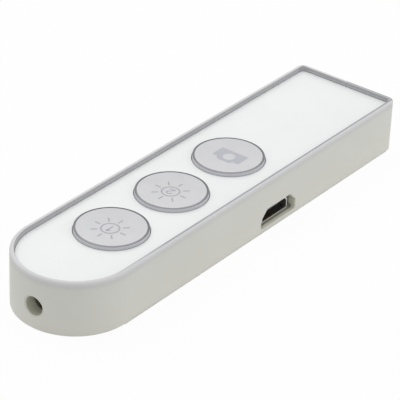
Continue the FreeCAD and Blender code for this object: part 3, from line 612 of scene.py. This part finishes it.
def button_disc(name):
    """Disc on a cap, in place of its CAD solid; returns its centre and the height of its face."""
    low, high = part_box(name + "_lens")
    centre = (low + high) / 2
    foot_radius = (high.x - low.x) / 2
    radius = foot_radius - DISC_DRAFT
    ring_low = high.z - RING_DROP
    outline = [(0, low.z), (foot_radius, low.z), (radius, ring_low - EDGE_ROUND),
               (radius - EDGE_MIDDLE * EDGE_ROUND, ring_low - EDGE_MIDDLE * EDGE_ROUND),
               (radius - EDGE_ROUND, ring_low), (radius - RING_WIDTH, high.z), (0, high.z)]
    finishes = [FINISHES["lens_printed"], FINISHES["cap_grey"], DISC_EDGE]
    field, side, ring = range(len(finishes))
    bands = [side, side, ring, ring, ring, field]
    piece = mesh_object(name + "_disc", turned_mesh(centre, outline, bands), finishes)
    piece.data.set_sharp_from_angle(angle=SHARP_EDGE)
    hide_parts(name + "_lens")
    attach(piece, name)
    return centre, high.z


# Printed symbols, drawn flat with across and up, and laid on a disc with up towards the rounded end

def stroke(points, width):
    """Closed outline of a line of one width with round ends, along (across, up) points."""
    left = []
    right = []
    for place, point in enumerate(points):
        before = points[max(place - 1, 0)]
        after = points[min(place + 1, len(points) - 1)]
        along = (after - before).normalized()
        side = Vector((-along.y, along.x)) * width / 2
        left.append(point + side)
        right.append(point - side)
    first = (points[1] - points[0]).normalized()
    last = (points[-1] - points[-2]).normalized()
    ends = []
    for centre, along in ((points[-1], last), (points[0], -first)):
        start = math.atan2(along.y, along.x) + math.pi / 2
        angles = [start - math.pi * step / LINE_END_STEPS for step in range(1, LINE_END_STEPS)]
        ends.append([centre + Vector((math.cos(angle), math.sin(angle))) * width / 2 for angle in angles])
    return left + ends[0] + right[::-1] + ends[1]


def circle(up, radius):
    """Closed outline of a circle that lies some way up from the middle."""
    angles = [math.tau * step / CIRCLE_STEPS for step in range(CIRCLE_STEPS)]
    return [Vector((radius * math.cos(angle), up + radius * math.sin(angle))) for angle in angles]


def sun(digit):
    """Ring with eight rays round a digit."""
    shapes = [(circle(0, SUN_RING + LINE / 2), circle(0, SUN_RING - LINE / 2))]
    for step in range(RAYS):
        angle = math.tau * step / RAYS
        direction = Vector((math.cos(angle), math.sin(angle)))
        shapes.append(stroke([direction * RAY_START, direction * RAY_END], LINE))
    return shapes + [stroke([Vector(point) * MM for point in path], DIGIT_LINE) for path in DIGITS[digit]]


def camera_sign():
    """Camera seen from the front: body with a raised finder and a round lens left open."""
    outline = SIGN_HALF + [(-across, up) for across, up in reversed(SIGN_HALF)]
    return [([Vector(point) * MM for point in outline], circle(SIGN_LENS_UP, SIGN_LENS_RADIUS))]


def printed(name, shapes, centre, top, ink, body):
    """Thin ink film from closed outlines; a pair of outlines is a shape with a hole."""
    work = bmesh.new()
    for shape in shapes:
        outlines = shape if isinstance(shape, tuple) else (shape,)
        edges = []
        for outline in outlines:
            ring = [work.verts.new((centre.x - point.y, centre.y + point.x, top)) for point in outline]
            edges += [work.edges.new((ring[step - 1], ring[step])) for step in range(len(ring))]
        bmesh.ops.triangle_fill(work, edges=edges, use_beauty=True, normal=(0, 0, 1))
    film = bmesh.ops.extrude_face_region(work, geom=list(work.faces))
    raised = [item for item in film["geom"] if isinstance(item, bmesh.types.BMVert)]
    bmesh.ops.translate(work, verts=raised, vec=(0, 0, INK))
    piece = mesh_object(name, work, [ink])
    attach(piece, body)


BUTTONS = {
    "light_button_1": ("sun_1", sun("1"), LINE_INK, SUN_SHIFT),
    "light_button_2": ("sun_2", sun("2"), LINE_INK, SUN_SHIFT),
    "shutter_button": ("camera_sign", camera_sign(), PANEL_INK, SIGN_SHIFT),
}
for button, (sign, shapes, ink, shift) in BUTTONS.items():
    centre, top = button_disc(button)
    printed(button + "_" + sign, shapes, centre + shift, top, ink, button)


# Floor, light and camera

def seen_as_white(tree):
    """1 for a ray from the camera, in a reflection or through something clear, and 0 for soft light."""
    ray = add(tree, "ShaderNodeLightPath", {}, {}).outputs
    seen = ray["Is Camera Ray"]
    for kind in ("Is Glossy Ray", "Is Transmission Ray"):
        seen = add(tree, "ShaderNodeMath", {"operation": "MAXIMUM"}, {0: seen, 1: ray[kind]})
    return seen


def matt_painted_board():
    """White sweep of painted board: white to the camera and in reflections, but for its two shades."""
    material, tree, place = new_finish("matt_painted_board")
    paint = mottled(tree, place, 40.0, "#EFEFEF", "#F3F3F3")
    board = add(tree, "ShaderNodeBsdfDiffuse", {}, {"Color": paint})
    white = add(tree, "ShaderNodeEmission", {}, {"Color": (1, 1, 1, 1), "Strength": 1.0})
    distance, at = from_middle(tree, place)
    contact = where(tree, (distance, ABOVE, CONTACT_LINE[0]), (distance, BELOW, CONTACT_LINE[1]),
                    (at["X"], ABOVE, -END_CENTRE), (at["X"], BELOW, CONTACT_END))
    from_slot = add(tree, "ShaderNodeVectorMath", {"operation": "DISTANCE"}, {0: place, 1: SLOT_CENTRE})
    under_slot = where(tree, (from_slot, BELOW, SLOT_SHADE))
    shaded = add(tree, "ShaderNodeMath", {"operation": "MAXIMUM"}, {0: contact, 1: under_slot})
    whiteness = add(tree, "ShaderNodeMapRange", {}, {"Value": shaded, "To Min": FLOOR_WHITE,
                                                     "To Max": 0.0})
    share = add(tree, "ShaderNodeMath", {"operation": "MULTIPLY"}, {0: seen_as_white(tree), 1: whiteness})
    surface = add(tree, "ShaderNodeMixShader", {}, {0: share, 1: board, 2: white})
    add(tree, "ShaderNodeOutputMaterial", {}, {"Surface": surface})
    return material


def floor():
    """Wide flat floor, a hair below the underside."""
    work = bmesh.new()
    bmesh.ops.create_grid(work, x_segments=FLOOR_CELLS, y_segments=FLOOR_CELLS, size=FLOOR_REACH)
    piece = mesh_object("floor", work, [matt_painted_board()])
    piece.location.z = -FLOOR_DROP


def studio_sky():
    """Even soft sky that the camera and reflections see as white."""
    world = bpy.data.worlds.new("studio_sky")
    world.use_nodes = True
    bpy.context.scene.world = world
    tree = world.node_tree
    tree.nodes.clear()
    level = add(tree, "ShaderNodeMapRange", {}, {"Value": seen_as_white(tree), "To Min": SKY_LIGHT,
                                                 "To Max": 1.0})
    sky = add(tree, "ShaderNodeBackground", {}, {"Color": (1, 1, 1, 1), "Strength": level})
    add(tree, "ShaderNodeOutputWorld", {}, {"Surface": sky})


def softbox(name, place, side, power):
    """Square softbox that faces the remote."""
    light = bpy.data.lights.new(name, "AREA")
    light.shape = "SQUARE"
    light.size = side
    light.energy = power
    lamp = bpy.data.objects.new(name, light)
    lamp.location = place
    lamp.rotation_euler = (LIT_POINT - Vector(place)).to_track_quat("-Z", "Y").to_euler()
    bpy.context.scene.collection.objects.link(lamp)


def camera():
    """Camera on a sphere round the middle of the underside, moved in its picture plane and rolled."""
    back = Vector((math.sin(AZIMUTH) * math.cos(ELEVATION), -math.cos(AZIMUTH) * math.cos(ELEVATION),
                   math.sin(ELEVATION)))
    level = Vector((math.cos(AZIMUTH), math.sin(AZIMUTH), 0))
    upward = back.cross(level)
    right = level * math.cos(ROLL) + upward * math.sin(ROLL)
    top = upward * math.cos(ROLL) - level * math.sin(ROLL)
    view = bpy.data.cameras.new("camera")
    view.lens = LENS_MM
    view.sensor_width = FILM_MM
    view.clip_start = NEAREST_SEEN
    view.clip_end = FARTHEST_SEEN
    holder = bpy.data.objects.new("camera", view)
    place = back * DISTANCE + right * CAMERA_RIGHT + top * CAMERA_UP
    turn = Matrix((right, top, back)).transposed()
    holder.matrix_world = Matrix.Translation(place) @ turn.to_4x4()
    bpy.context.scene.collection.objects.link(holder)
    bpy.context.scene.camera = holder


floor()
studio_sky()
for name, (place, side, power) in SOFTBOXES.items():
    softbox(name, place, side, power)
camera()
bpy.context.scene.view_settings.view_transform = "Standard"
